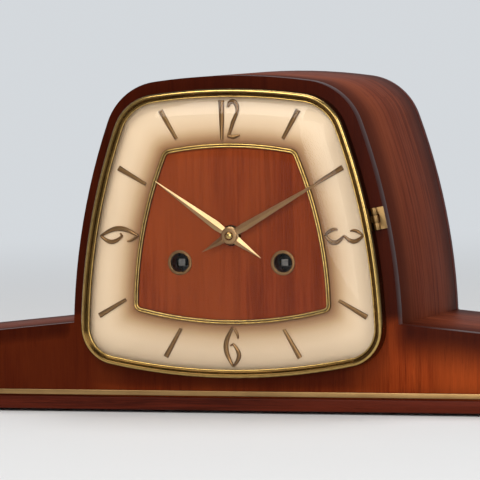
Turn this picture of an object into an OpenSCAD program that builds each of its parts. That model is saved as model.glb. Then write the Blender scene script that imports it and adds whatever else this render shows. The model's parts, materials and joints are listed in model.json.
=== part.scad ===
/* [Case] */
// Length over both wings
case_l = 460; // [380:1:560]
// Depth of the case from the front board's face to the back board's face
case_d = 118; // [105:1:150]
// Greatest width of the raised body
body_w = 177; // [165:1:215]
// Height of the body above the underside of the base
body_h = 174; // [168:1:210]
// Radius of the arched top
top_r = 308; // [260:1:400]
// Radius of the bowed sides
side_r = 339; // [300:1:420]
// Height at which the bowed sides are widest
side_z = 34; // [28:1:40]
// Radius of the upper corners of the body
corner_r = 32; // [26:1:40]
// Height of the wing tops where they meet the body
wing_z = 45.5; // [40:0.5:55]
// Fall of each wing top from the body to its end
wing_fall = 14.5; // [8:0.5:18]
// Thickness of the base board
base_t = 6.7; // [5:0.1:9]
// Thickness of the front board
board_t = 8; // [6:0.5:10]
// Thickness of the back board
back_t = 5; // [4:0.5:8]
// Thickness of the bent hood
hood_t = 5; // [4:0.5:7]
// Thickness of the wing tops
wing_t = 5.5; // [4:0.5:8]
// Thickness of the wing end blocks
end_t = 9; // [6:0.5:14]
// Height of the brass strip
strip_h = 2.7; // [2:0.1:4]
// How far the brass strip stands in front of the board
strip_proud = 0.6; // [0.3:0.1:1.2]
// Height of the shadow groove under the brass strip
groove_h = 0.9; // [0.5:0.1:1.5]
// Radius of a felt pad
pad_r = 8; // [6:0.5:12]
// Thickness of a felt pad
pad_t = 1.5; // [1:0.1:3]

/* [Glazed door] */
// Margin of front board left around the bezel
bezel_margin = 6.4; // [5:0.1:8]
// Height of the bezel's lowest point
bezel_low = 17.4; // [15:0.1:22]
// Radius of the bezel's bottom edge
bezel_bottom_r = 330; // [280:1:420]
// Radius of the bezel's lower corners
bezel_corner_r = 20; // [16:0.5:26]
// Width of the bezel ring, seen from the front
bezel_w = 4.6; // [4:0.1:6]
// Height of the bezel in front of the board
bezel_h = 8.6; // [8:0.1:11]
// Sheet thickness of the bezel
bezel_sheet = 1; // [0.8:0.1:1.4]
// Thickness of the glass
glass_t = 1.6; // [1.2:0.1:2.5]
// Rise of the domed glass above its rim
dome_rise = 6.6; // [6.2:0.1:9]
// Height of the glazed door's hinge above the base
hinge_z = 99.5; // [90:0.5:110]
// Length of the glazed door's hinge
hinge_l = 11.5; // [9:0.5:16]
// Radius of a hinge knuckle
knuckle_r = 1.6; // [1.4:0.1:2.2]
// Radius of a hinge pin
hinge_pin_r = 0.8; // [0.6:0.05:1]

/* [Dial] */
// Height of the hand axis above the base
axis_z = 91.4; // [88:0.1:100]
// Distance from the board to the dial's face
dial_h = 3.5; // [3:0.1:4]
// Sheet thickness of the dial
dial_sheet = 0.8; // [0.5:0.1:1.2]
// Height of the inner dial frame's top edge above the hand axis
frame_up = 47.9; // [44:0.1:52]
// Depth of the inner dial frame's bottom edge below the hand axis
frame_down = 46.2; // [42:0.1:50]
// Half width of the inner dial frame at its widest
frame_half_w = 53.6; // [48:0.1:58]
// Width of the inner dial frame's bead
frame_w = 2.6; // [2:0.1:3.5]
// Thickness of the applied numerals and markers
numeral_t = 1.2; // [0.8:0.1:1.5]
// Length of a numeral
numeral_l = 20.5; // [17:0.5:22]
// Length of an hour marker
marker_l = 17; // [14:0.5:18]
// Radius of a winding hole's grommet
grommet_r = 6.5; // [6:0.1:7.5]
// Length of the minute hand from its axis
minute_l = 65; // [55:1:66]
// Length of the hour hand from its axis
hour_l = 49; // [40:1:52]
// Thickness of a hand
hand_t = 0.7; // [0.5:0.1:0.8]

/* [Movement] */
// Width of the movement plates
plate_w = 108; // [104:1:120]
// Thickness of the movement plates
plate_t = 1.8; // [1.5:0.1:2.5]
// Distance between the movement plates
plate_gap = 38; // [36:0.5:44]
// Distance between the two winding arbors
arbor_gap = 56; // [55:0.5:62]
// Depth of the winding arbors below the hand axis
arbor_drop = 14.1; // [12:0.1:16]
// Radius of an arbor's bearing pivot
pivot_r = 0.9; // [0.8:0.05:1.1]
// Radial clearance of a pivot in its hole
pivot_clear = 0.05; // [0.03:0.01:0.1]
// Length of the pendulum from its pivot to the middle of the bob
pendulum_l = 82; // [70:1:84]
// Radius of the pendulum bob
bob_r = 13; // [10:0.5:15]
// Length of the gong rods
gong_l = 185; // [150:1:195]

/* [Back door] */
// Width of the back door
door_w = 118; // [100:1:130]
// Height of the back door
door_h = 116; // [100:1:124]
// Thickness of the back door
door_t = 4; // [3:0.5:6]
// Overlap of the back door on the board around its opening
door_lap = 7; // [5:0.5:10]
// Length of the back door's knob
knob_l = 12; // [9:0.5:18]

/* [Hidden] */
$fn = 48;
// Length scale of the flats that arcs are drawn with
arc_step = 28;
sliver = 0.01;
gap = 0.3;
wood = "#6b2b18";
dark_wood = "#3a150d";
cream = "#efe6cf";
brass = "#c9a45a";
steel = "#a9acb0";
case_half = case_l / 2;
board_low = base_t;
strip_low = base_t + groove_h;
strip_in = 1.2;
glass_back = -(bezel_h - 3.5);
glass_front = glass_back - 1.1;
dome_last = 78;
y_front = glass_front - dome_rise * sin(dome_last);
y_back = case_d + gap + door_t + knob_l;
y_mid = (y_front + y_back) / 2;
hood_low = wing_z - wing_t;

// Centre of the body's side arc, top arc and upper corner arc
side_c = [body_w / 2 - side_r, side_z];
top_c = [0, body_h - top_r];
bottom_c = [0, bezel_low + bezel_bottom_r];

// Glazed door
bezel_back = -gap;
dial_inset = 3.7;
ring_inset = 1.1;
hinge_tilt = asin((hinge_z - side_z) / (side_r - bezel_margin));
hinge_out = side_r - bezel_margin + knuckle_r + gap;
hinge_y = -(knuckle_r + gap);
pin_clear = 0.04;
knuckle_l = (hinge_l - 2 * gap) / 3;

// Height of each layer in front of the dial
numeral_y = -dial_h;
veneer_t = 0.3;
hand_gap = 0.6;
hour_y = -(dial_h + numeral_t + hand_gap);
minute_y = hour_y - hand_t - hand_gap;
nut_t = 1.3;
minute_turn = 90 - 60.5;
hour_turn = 90 + 55;

// Movement: y places of the plates, and the arbors' places seen from the front
front_y = board_t + 12;
inner_y = front_y + plate_t;
rear_y = inner_y + plate_gap;
end_y = rear_y + plate_t;
going_p = [arbor_gap / 2, -arbor_drop];
strike_p = [-arbor_gap / 2, -arbor_drop];
mesh_clear = 0.1;
barrel_m = 0.68;
wheel_m = 0.6;
fine_m = 0.5;
barrel_n = 74;
barrel_pinion_n = 10;
second_n = 52;
centre_pinion_n = 10;
centre_n = 64;
small_pinion_n = 8;
third_n = 56;
escape_n = 30;
escape_r = 10;
strike_second_n = 50;
pin_wheel_n = 48;
cannon_n = 12;
minute_wheel_n = 36;
minute_pinion_n = 10;
hour_wheel_n = 40;
motion_m = 0.5;
barrel_reach = spacing(barrel_m, barrel_n, barrel_pinion_n);
centre_reach = spacing(wheel_m, second_n, centre_pinion_n);
second_p = meet(going_p, barrel_reach, [0, 0], centre_reach, -1);
third_p = polar(spacing(fine_m, centre_n, small_pinion_n), 120);
escape_p = third_p + polar(spacing(fine_m, third_n, small_pinion_n), 38);
anchor_lift = 15.5;
anchor_p = escape_p + [0, anchor_lift];
strike_second_p = strike_p + polar(barrel_reach, 101);
pin_wheel_p = strike_second_p + polar(spacing(fine_m, strike_second_n, small_pinion_n), 62);
fly_p = pin_wheel_p + polar(spacing(fine_m, pin_wheel_n, small_pinion_n), 30);
minute_wheel_p = polar(spacing(motion_m, minute_wheel_n, cannon_n), 205);
plate_low = -(arbor_drop + 30);
plate_high = anchor_p[1] + 6;
pillar_r = 3;
pillar_in = 6;
click_n = 24;
ratchet_r = 9;
ratchet_y = front_y - 0.4;
square_w = 3.6;
hammer_p = [-22, -37];
hammer_y = [end_y + 5, end_y + 12];
hammer_arm = 27;
hammer_drop = 22;
hammer_head_r = 3.5;
gong_r = 1.4;
gong_z = axis_z + hammer_p[1] - hammer_drop - hammer_head_r - gong_r - 1;
gong_x = -58;
block_w = 14;
pendulum_y = end_y + 12;
bob_t = 5;
arbor_places = [second_p, third_p, escape_p, anchor_p, strike_second_p, pin_wheel_p, fly_p];
barrel_y = inner_y + 10;
barrel_l = 20;
centre_wheel_y = inner_y + 3;
second_wheel_y = inner_y + 6;
third_wheel_y = rear_y - 5.5;
escape_wheel_y = rear_y - 3.2;
motion_y = front_y - 8;
strike_wheel_y = inner_y + 7;
pin_wheel_y = rear_y - 9;
block_x = gong_x + gong_l;
pillar_places = [
  for (x = [-1, 1], z = [plate_low + pillar_in, plate_high - pillar_in]) [x * (plate_w / 2 - pillar_in), z]
];

// Back door and its opening
opening_w = door_w - 2 * door_lap;
opening_h = door_h - 2 * door_lap;
door_low = base_t + 8;
door_y = case_d + gap;
door_axis = [-door_w / 2 - gap - 0.8 - knuckle_r, case_d + knuckle_r + 0.15];
door_hinge_l = 18;
door_hinge_z = [door_low + 22, door_low + door_h - 22];
door_knuckle_l = (door_hinge_l - 2 * gap) / 3;

// Point at a distance and an angle from the origin
function polar(r, a) = r * [cos(a), sin(a)];

// Where a circle about a and a circle about b cross, on the left of the line from a to b, or on its right
function meet(a, ra, b, rb, turn = 1) =
  let (d = norm(b - a), u = (b - a) / d, along = (ra * ra - rb * rb + d * d) / (2 * d))
  a + along * u + turn * sqrt(ra * ra - along * along) * [-u[1], u[0]];

// Points on an arc, both ends included
function arc(c, r, from, to) =
  let (n = max(3, ceil(abs(to - from) * sqrt(r) / arc_step)))
  [for (i = [0:n]) c + polar(r, from + (to - from) * i / n)];

function angle_to(a, b) = atan2(b[1] - a[1], b[0] - a[0]);

function mirrored(points) = [for (i = [len(points) - 1:-1:0]) [-points[i][0], points[i][1]]];

// Centre distance of two meshing gears, with a little room between the teeth
function spacing(m, n1, n2) = m * (n1 + n2) / 2 + mesh_clear;

// Turn that sets a gap of an n-toothed pinion opposite its driver's tooth
function gap_phase(from, to, n) = angle_to(from, to) + 180 + 180 / n;

// Right half of the body's outline, inset by d, from height low to the top
function body_half(d, low) =
  let (c = meet(side_c, side_r - corner_r, top_c, top_r - corner_r))
  let (from = asin((low - side_c[1]) / (side_r - d)))
  concat(
    arc(side_c, side_r - d, from, angle_to(side_c, c)),
    arc(c, corner_r - d, angle_to(side_c, c), angle_to(top_c, c)),
    arc(top_c, top_r - d, angle_to(top_c, c), 90)
  );

function body_outline(d, low) = concat(body_half(d, low), mirrored(body_half(d, low)));

// Right half of a four-sided outline with bowed sides and round corners, from the bottom up
function bowed_half(bottom_c, bottom_r, low_r, side_c, side_r, high_r, top_c, top_r, d) =
  let (
    low = meet(bottom_c, bottom_r - low_r, side_c, side_r - low_r),
    high = meet(side_c, side_r - high_r, top_c, top_r - high_r)
  )
  concat(
    arc(bottom_c, bottom_r - d, -90, angle_to(bottom_c, low)),
    arc(low, low_r - d, angle_to(bottom_c, low), angle_to(side_c, low)),
    arc(side_c, side_r - d, angle_to(side_c, low), angle_to(side_c, high)),
    arc(high, high_r - d, angle_to(side_c, high), angle_to(top_c, high)),
    arc(top_c, top_r - d, angle_to(top_c, high), 90)
  );

// Outline of the bezel, inset by d
function bezel_outline(d) =
  let (half = bowed_half(
    bottom_c, bezel_bottom_r, bezel_corner_r,
    side_c, side_r - bezel_margin, corner_r - bezel_margin,
    top_c, top_r - bezel_margin, d))
  concat(half, mirrored(half));

// Outline of the inner dial frame, inset by d
function frame_outline(d) =
  let (
    top_arc = 185,
    side_arc = 215,
    bottom_arc = 205,
    half = bowed_half(
      [0, axis_z - frame_down + bottom_arc], bottom_arc, 4.5,
      [frame_half_w - side_arc, axis_z - 41], side_arc, 5,
      [0, axis_z + frame_up - top_arc], top_arc, d)
  )
  concat(half, mirrored(half));

// Distance from the hand axis to a closed outline, in direction a
function reach(points, a) = max([
  for (i = [0:len(points) - 1])
    let (
      p = points[i] - [0, axis_z],
      q = points[(i + 1) % len(points)] - [0, axis_z],
      u = polar(1, a),
      cp = u[0] * p[1] - u[1] * p[0],
      cq = u[0] * q[1] - u[1] * q[0]
    )
    if (cp * cq <= 0 && cp != cq)
      (p + (q - p) * cp / (cp - cq)) * u
]);

// Extrudes a shape drawn in x and z between two depths
module slab(y0, y1) {
  translate([0, y1, 0]) rotate([90, 0, 0]) linear_extrude(y1 - y0) children();
}

// Round bar along the depth
module bar(p, r, y0, y1) {
  translate([p[0], y1, p[1]]) rotate([90, 0, 0]) cylinder(r = r, h = y1 - y0);
}

// Everything is drawn from the front board's face and the base's underside, then placed
module placed() {
  translate([0, -y_mid, pad_t]) children();
}

// The same, for pieces drawn from the hand axis
module on_axis() {
  placed() translate([0, 0, axis_z]) children();
}

module on_right(side) {
  if (side > 0) {
    children();
  } else {
    mirror([1, 0, 0]) children();
  }
}

// Outline of the whole case: base, wings and body
module case_shape() {
  end_z = wing_z - wing_fall;
  half = concat([[case_half, board_low], [case_half, end_z]], body_half(0, wing_z));
  polygon(concat(half, mirrored(half)));
}

// Flat toothed wheel with one tooth in direction phase
module wheel(n, m, phase = 0, thin = 0.3) {
  root_r = m * n / 2 - 1.2 * m;
  tip_r = m * n / 2 + 0.85 * m;
  corners = [[-0.25, root_r], [-thin / 4, tip_r], [thin / 4, tip_r], [0.25, root_r]];
  rotate(phase) polygon([for (i = [0:n - 1], c = corners) polar(c[1], (i + c[0]) * 360 / n)]);
}

// Wheel with a hub and round windows
module crossed_wheel(n, m, phase, windows, t, y) {
  r = m * n / 2 - 1.2 * m;
  slab(y, y + t) difference() {
    wheel(n, m, phase);
    for (i = [0:windows - 1]) rotate(i * 360 / windows) translate([r * 0.57, 0]) circle(r = r * 0.24);
  }
}

// Toothed pinion
module pinion(n, m, phase, y0, y1) {
  slab(y0, y1) wheel(n, m, phase, 0.26);
}

// Arbor with a pivot at each plate
module arbor(r) {
  bar([0, 0], r, inner_y + gap, rear_y - gap);
  bar([0, 0], pivot_r, front_y + 0.2, end_y - 0.2);
}

// Pin-like screw with a domed head, along the depth, head at y facing the back
module screw(p, y, head_r, l) {
  bar(p, head_r * 0.45, y - l, y);
  bar(p, head_r, y, y + head_r * 0.5);
}

// ---- Case ----

module front_board() {
  color(wood) placed() difference() {
    slab(0, board_t) case_shape();
    translate([-case_half - 1, -1, strip_low]) cube([case_l + 2, 1 + strip_in, strip_h]);
    translate([-case_half - 1, -1, base_t - 1]) cube([case_l + 2, 2, 1 + groove_h]);
    translate([0, 0, axis_z]) {
      bar([0, 0], 7, -1, board_t + 1);
      bar(going_p, grommet_r - 1, -1, board_t + 1);
      bar(strike_p, grommet_r - 1, -1, board_t + 1);
    }
  }
}

module hood() {
  color(wood) placed() slab(board_t, case_d - back_t) difference() {
    polygon(body_outline(0, hood_low));
    polygon(body_outline(hood_t, hood_low - 1));
  }
}

module wing_top(side) {
  fall = wing_fall / (case_half - body_half(0, wing_z)[0][0]);
  inner_x = body_w / 2 - 6;
  inner_z = wing_z + (body_half(0, wing_z)[0][0] - inner_x) * fall;
  color(wood) placed() on_right(side) slab(board_t, case_d - back_t) difference() {
    polygon([
      [inner_x, inner_z], [case_half, wing_z - wing_fall],
      [case_half, wing_z - wing_fall - wing_t], [inner_x, inner_z - wing_t]
    ]);
    polygon(body_outline(0, hood_low));
  }
}

module wing_top_left() {
  wing_top(-1);
}

module wing_top_right() {
  wing_top(1);
}

module wing_end(side) {
  fall = wing_fall / (case_half - body_half(0, wing_z)[0][0]);
  top = wing_z - wing_fall - wing_t;
  color(wood) placed() on_right(side) slab(board_t, case_d - back_t)
    polygon([
      [case_half, base_t], [case_half, top],
      [case_half - end_t, top + end_t * fall], [case_half - end_t, base_t]
    ]);
}

module wing_end_left() {
  wing_end(-1);
}

module wing_end_right() {
  wing_end(1);
}

module base_board() {
  color(dark_wood) placed() translate([-case_half, 0, 0]) cube([case_l, case_d, base_t]);
}

module back_board() {
  color(dark_wood) placed() difference() {
    slab(case_d - back_t, case_d) case_shape();
    translate([-opening_w / 2, case_d - back_t - 1, door_low + door_lap])
      cube([opening_w, back_t + 2, opening_h]);
  }
}

module glue_blocks() {
  block = 12;
  color(wood) placed() for (side = [-1, 1], y = [board_t, case_d - back_t - block])
    translate([side * (body_w / 2 + 14) - block / 2, y, base_t]) cube(block);
}

module brass_strip() {
  color(brass) placed() translate([-case_half, -strip_proud, strip_low])
    cube([case_l, strip_proud + strip_in, strip_h]);
}

module felt_pads() {
  color("#2b2420") placed() for (x = [-1, 1], y = [pad_r + 6, case_d - pad_r - 6])
    translate([x * (case_half - pad_r - 10), y, -pad_t]) cylinder(r = pad_r, h = pad_t);
}

// ---- Back door ----

module back_door() {
  slot_w = 3;
  slot_step = 9;
  color(dark_wood) placed() difference() {
    translate([-door_w / 2, door_y, door_low]) cube([door_w, door_t, door_h]);
    for (i = [-4:4]) translate([i * slot_step - slot_w / 2, door_y - 1, door_low + 14])
      cube([slot_w, door_t + 2, 30]);
  }
}

// Knuckles of one back door hinge: the outer two, or the middle one
module door_knuckles(outer) {
  places = outer ? [0, 2] : [1];
  for (i = places) translate([0, 0, i * (door_knuckle_l + gap) - door_hinge_l / 2]) difference() {
    cylinder(r = knuckle_r, h = door_knuckle_l);
    translate([0, 0, -1])
      cylinder(r = outer ? hinge_pin_r : hinge_pin_r + pin_clear, h = door_knuckle_l + 2);
  }
}

module at_door_hinges() {
  placed() for (z = door_hinge_z) translate([door_axis[0], door_axis[1], z]) children();
}

module door_hinge_leaves() {
  leaf_w = 9;
  leaf_y = case_d - door_axis[1];
  arm = knuckle_r + gap + 1;
  color(brass) at_door_hinges() {
    door_knuckles(true);
    difference() {
      union() {
        translate([-leaf_w - knuckle_r - gap, leaf_y, -door_hinge_l / 2])
          cube([leaf_w, 0.8, door_hinge_l]);
        for (i = [0, 2]) translate([-arm, leaf_y, i * (door_knuckle_l + gap) - door_hinge_l / 2])
          cube([arm, 0.6, door_knuckle_l]);
      }
      for (i = [-1, 1]) translate([-leaf_w / 2 - knuckle_r - 1, 0, i * 5]) rotate([90, 0, 0])
        cylinder(r = 1, h = 20, center = true);
    }
  }
}

module door_hinge_flaps() {
  color(brass) at_door_hinges() {
    door_knuckles(false);
    translate([knuckle_r, door_y - door_axis[1], -door_hinge_l / 2])
      cube([0.8 + gap, door_t, door_hinge_l]);
    translate([hinge_pin_r + 0.4, -0.4, -door_knuckle_l / 2])
      cube([knuckle_r + 0.2 - hinge_pin_r, 0.8, door_knuckle_l]);
  }
}

module door_hinge_pins() {
  color(steel) at_door_hinges() translate([0, 0, -door_hinge_l / 2])
    cylinder(r = hinge_pin_r, h = door_hinge_l);
}

module door_knob() {
  color(brass) placed() translate([door_w / 2 - 12, door_y + door_t, door_low + door_h / 2])
    rotate([-90, 0, 0]) rotate_extrude() polygon([
      [0, 0], [4, 0], [4, 1.2], [2, 2.4], [2, knob_l - 6.5],
      [4.6, knob_l - 4.5], [5, knob_l - 2.5], [3.8, knob_l - 0.6], [1.5, knob_l], [0, knob_l]
    ]);
}

// ---- Glazed door ----

// Band of the bezel's outline between two insets
module bezel_band(d0, d1) {
  difference() {
    polygon(bezel_outline(d0));
    polygon(bezel_outline(d1));
  }
}

module bezel() {
  lip = bezel_h - 2;
  color(brass) placed() {
    slab(-lip, bezel_back) bezel_band(0, bezel_sheet);
    slab(-bezel_h + 0.7, -lip) bezel_band(0.4, bezel_w);
    slab(-bezel_h, -bezel_h + 0.7) bezel_band(1.2, bezel_w - 1);
    slab(-lip, glass_front - 0.05) bezel_band(bezel_w - bezel_sheet, bezel_w);
  }
}

// One layer of a dome that rises over the bezel's opening
module dome_layer(d, t, rise, y) {
  points = bezel_outline(d);
  mid = (points[0][1] + body_h - bezel_margin) / 2;
  slab(y - rise * sin(t) - sliver, y - rise * sin(t))
    polygon([for (p = points) [p[0] * cos(t), mid + (p[1] - mid) * cos(t)]]);
}

module dome(d, rise, y) {
  hull() for (t = [0, 12, 26, 42, 60, dome_last]) dome_layer(d, t, rise, y);
}

module bezel_glass() {
  color("#dfeef0", 0.3) placed() {
    slab(glass_front, glass_back) bezel_band(ring_inset + 0.1, bezel_w + 1.5);
    difference() {
      dome(bezel_w + 0.3, dome_rise, glass_front + sliver);
      dome(bezel_w + 0.3 + glass_t, dome_rise - glass_t, glass_front + 2 * sliver);
    }
  }
}

module glass_ring() {
  color(steel) placed() slab(glass_back + 0.02, glass_back + 0.7) bezel_band(ring_inset, dial_inset - 0.5);
}

// Places a piece on the slanted axis of the glazed door's hinge
module at_bezel_hinge() {
  spot = side_c + polar(hinge_out, hinge_tilt);
  placed() translate([spot[0], hinge_y, spot[1]]) rotate([0, -hinge_tilt, 0]) children();
}

module bezel_knuckles(outer) {
  places = outer ? [0, 2] : [1];
  for (i = places) translate([0, 0, i * (knuckle_l + gap) - hinge_l / 2]) difference() {
    cylinder(r = knuckle_r, h = knuckle_l);
    translate([0, 0, -1]) cylinder(r = outer ? hinge_pin_r : hinge_pin_r + pin_clear, h = knuckle_l + 2);
  }
}

module bezel_hinge_leaf() {
  leaf_w = 3;
  color(brass) at_bezel_hinge() {
    bezel_knuckles(true);
    translate([knuckle_r + gap, -hinge_y - 0.7, -hinge_l / 2]) cube([leaf_w, 0.7, hinge_l]);
    for (i = [0, 2]) translate([0, -hinge_y - 0.7, i * (knuckle_l + gap) - hinge_l / 2])
      cube([knuckle_r + gap + 0.5, 0.7, knuckle_l]);
  }
}

module bezel_hinge_flap() {
  color(brass) at_bezel_hinge() {
    bezel_knuckles(false);
    translate([-knuckle_r - gap, -0.5, -knuckle_l / 2])
      cube([knuckle_r + gap - hinge_pin_r - 0.3, 1, knuckle_l]);
  }
}

module bezel_hinge_pin() {
  color(steel) at_bezel_hinge() translate([0, 0, -hinge_l / 2]) cylinder(r = hinge_pin_r, h = hinge_l);
}

// ---- Dial ----

module dial_plate() {
  color(cream) placed() difference() {
    slab(-dial_h, 0) polygon(bezel_outline(dial_inset));
    slab(-dial_h + dial_sheet, 1) polygon(bezel_outline(dial_inset + dial_sheet));
    translate([0, 0, axis_z]) {
      bar([0, 0], 5.4, -dial_h - 1, 1);
      bar(going_p, grommet_r - 0.8, -dial_h - 1, 1);
      bar(strike_p, grommet_r - 0.8, -dial_h - 1, 1);
    }
  }
}

module dial_frame() {
  color(brass) placed() {
    slab(numeral_y - 0.9, numeral_y) difference() {
      polygon(frame_outline(0));
      polygon(frame_outline(frame_w));
    }
    slab(numeral_y - 1.5, numeral_y - 0.9) difference() {
      polygon(frame_outline(0.7));
      polygon(frame_outline(frame_w - 0.7));
    }
  }
}

module dial_veneer() {
  color(wood) placed() difference() {
    slab(numeral_y - veneer_t, numeral_y) polygon(frame_outline(frame_w));
    translate([0, 0, axis_z]) {
      bar([0, 0], 5.4, -dial_h - 1, 1);
      bar(going_p, grommet_r, -dial_h - 1, 1);
      bar(strike_p, grommet_r, -dial_h - 1, 1);
    }
  }
}

// Tapering stroke through points, with a half width at each point
module stroke(points, halves) {
  n = len(points) - 1;
  normals = [
    for (i = [0:n])
      let (d = points[min(i + 1, n)] - points[max(i - 1, 0)])
      [-d[1], d[0]] / norm(d)
  ];
  polygon(concat(
    [for (i = [0:n]) points[i] + normals[i] * halves[i]],
    [for (i = [n:-1:0]) points[i] - normals[i] * halves[i]]
  ));
}

// Curved stroke along part of an ellipse, thickest in its middle
module swell(c, rx, ry, from, to, thin, thick) {
  n = 12;
  stroke(
    [for (i = [0:n]) c + [rx * cos(from + (to - from) * i / n), ry * sin(from + (to - from) * i / n)]],
    [for (i = [0:n]) thin + (thick - thin) * sin(180 * i / n)]
  );
}

// Pointed stroke from one tip towards another, bowed sideways, drawn for part of its way
module bowed(z0, z1, x0, bow, part, thin, thick) {
  n = 12;
  stroke(
    [for (i = [0:n]) [x0 + bow * sin(180 * part * i / n), z0 + (z1 - z0) * part * i / n]],
    [for (i = [0:n]) thin + (thick - thin) * sin(180 * i / n)]
  );
}

module digit_1() {
  h = numeral_l / 2;
  stroke([[0, h], [0.1, 0], [0, -h]], [1.35, 1.05, 0.6]);
}

module digit_2() {
  h = numeral_l / 2;
  swell([0, h - 4.6], 2.6, 4, 165, -38, 0.55, 1.05);
  stroke([[2.05, h - 7], [0, h - 11.5], [-2, -h + 3]], [0.75, 0.85, 0.6]);
  stroke([[-2.9, -h + 2], [0.4, -h + 1.5], [3.6, -h + 2.4]], [0.5, 0.95, 0.4]);
  stroke([[-2.1, -h + 3.6], [-2.4, -h + 1.8]], [0.6, 0.6]);
}

// A pointed almond with a hooked loop and an open right shoulder
module digit_6() {
  h = numeral_l / 2;
  bowed(h, -h, 0.3, -3.9, 1, 0.45, 1.1);
  bowed(-h, h * 0.16, 0.3, 3.1, 1, 0.45, 0.95);
  bowed(h, -h * 0.1, 0.3, 2.7, 0.52, 0.35, 0.55);
  stroke([[0.6, h * 0.15], [-1.1, h * 0.06]], [0.5, 0.3]);
}

// A digit three of two almonds, each left open on one side
module digit_3() {
  h = numeral_l / 2;
  bowed(h, 0, 0, 3, 1, 0.45, 0.95);
  bowed(h, 0, 0, -2.7, 0.66, 0.35, 0.75);
  bowed(0, -h, 0, 3.7, 1, 0.45, 1);
  bowed(-h, 0, 0, -3.3, 0.66, 0.35, 0.8);
}

// Distance of the middle of the band between the inner frame and the bezel's opening
function band(a) = (reach(frame_outline(0), a) + reach(bezel_outline(bezel_w), a)) / 2;

module numerals() {
  color(brass) on_axis() slab(numeral_y - numeral_t, numeral_y) {
    translate([-4.2, band(90)]) digit_1();
    translate([1.9, band(90)]) digit_2();
    translate([0, -band(-90)]) digit_6();
    translate([-band(180), 0]) rotate(90) rotate(180) digit_6();
    translate([band(0), 0]) rotate(-90) digit_3();
  }
}

module hour_markers() {
  color(brass) on_axis() slab(numeral_y - numeral_t, numeral_y)
    for (k = [1, 2, 4, 5, 7, 8, 10, 11]) rotate(90 - 30 * k) translate([band(90 - 30 * k), 0])
      stroke([[-marker_l / 2, 0], [marker_l / 2, 0]], [0.8, 1.35]);
}

module winding_grommets() {
  color(brass) on_axis() for (p = [going_p, strike_p]) difference() {
    union() {
      bar(p, grommet_r - 0.8, numeral_y, -dial_h + dial_sheet + 0.6);
      bar(p, grommet_r, numeral_y - 0.9, numeral_y);
    }
    bar(p, grommet_r - 1.6, -dial_h - 3, 1);
  }
}

// ---- Hands ----

// Pointed hand: tip, broad shoulder, boss and short pointed tail
module hand_shape(l, half_w, tail, boss) {
  waist = 1.2;
  side = [[tail * 0.9, half_w], [0, waist], [-tail * 0.55, half_w * 0.9]];
  below = [for (i = [2:-1:0]) [side[i][0], -side[i][1]]];
  polygon(concat([[l, 0]], side, [[-tail, 0]], below));
  circle(r = boss);
}

module minute_hand() {
  color(brass) on_axis() difference() {
    slab(minute_y - hand_t, minute_y) rotate(minute_turn) hand_shape(minute_l, 2.1, 17, 4.4);
    bar([0, 0], 1.5, minute_y - 3, 0);
  }
}

module hour_hand() {
  color(brass) on_axis() difference() {
    slab(hour_y - hand_t, hour_y) rotate(hour_turn) hand_shape(hour_l, 2.4, 20, 4.7);
    bar([0, 0], 3.1, hour_y - 3, 0);
  }
}

module hand_nut() {
  color(brass) on_axis() difference() {
    translate([0, minute_y - hand_t, 0]) rotate([90, 0, 0]) rotate_extrude()
      polygon([[0, 0], [2.3, 0], [2.3, nut_t * 0.5], [1.6, nut_t * 0.85], [0.6, nut_t], [0, nut_t]]);
    bar([0, 0], 1, minute_y - hand_t - nut_t * 0.6, 0);
  }
}

// ---- Movement ----

// Outline of a movement plate
module plate_shape() {
  translate([-plate_w / 2, plate_low]) square([plate_w, plate_high - plate_low]);
}

module plate_holes(y0, y1) {
  for (p = arbor_places) bar(p, pivot_r + pivot_clear, y0 - 1, y1 + 1);
  for (p = pillar_places) bar(p, 1.5, y0 - 1, y1 + 1);
  for (p = [going_p, strike_p]) bar(p, 2.8 + pivot_clear, y0 - 1, y1 + 1);
}

module front_plate() {
  color(brass) on_axis() difference() {
    slab(front_y, inner_y) plate_shape();
    plate_holes(front_y, inner_y);
    bar([0, 0], 1.5 + pivot_clear, front_y - 1, inner_y + 1);
  }
}

module back_plate() {
  color(brass) on_axis() difference() {
    slab(rear_y, end_y) plate_shape();
    plate_holes(rear_y, end_y);
    bar([0, 0], pivot_r + pivot_clear, rear_y - 1, end_y + 1);
  }
}

module pillars() {
  color(brass) on_axis() for (p = pillar_places) {
    bar(p, pillar_r, inner_y, rear_y);
    bar(p, 1.5, front_y - 3, end_y + 3);
  }
}

module plate_nuts() {
  color(steel) on_axis() for (p = pillar_places, y = [front_y - 2.2, end_y]) difference() {
    translate([p[0], y + 2.2, p[1]]) rotate([90, 0, 0]) cylinder(r = 3, h = 2.2, $fn = 6);
    bar(p, 1.5, y - 1, y + 4);
  }
}

// Four steel feet that screw the front plate to the board
module mounting_brackets() {
  reach_in = 5;
  color(steel) on_axis() for (x = [-1, 1], z = [plate_low + 16, plate_high - 20])
    translate([x > 0 ? plate_w / 2 : -plate_w / 2 - 1.5, board_t, z]) {
      cube([1.5, inner_y - board_t + 10, 10]);
      translate([x > 0 ? 0 : -8, 0, 0]) difference() {
        cube([9.5, 1.5, 10]);
        translate([x > 0 ? 6 : 3.5, -1, 5]) rotate([-90, 0, 0]) cylinder(r = 1.6, h = 4);
      }
      translate([x > 0 ? 0.5 - reach_in : 1, inner_y - board_t + sliver, 0]) cube([reach_in, 1.5, 10]);
    }
}

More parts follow.
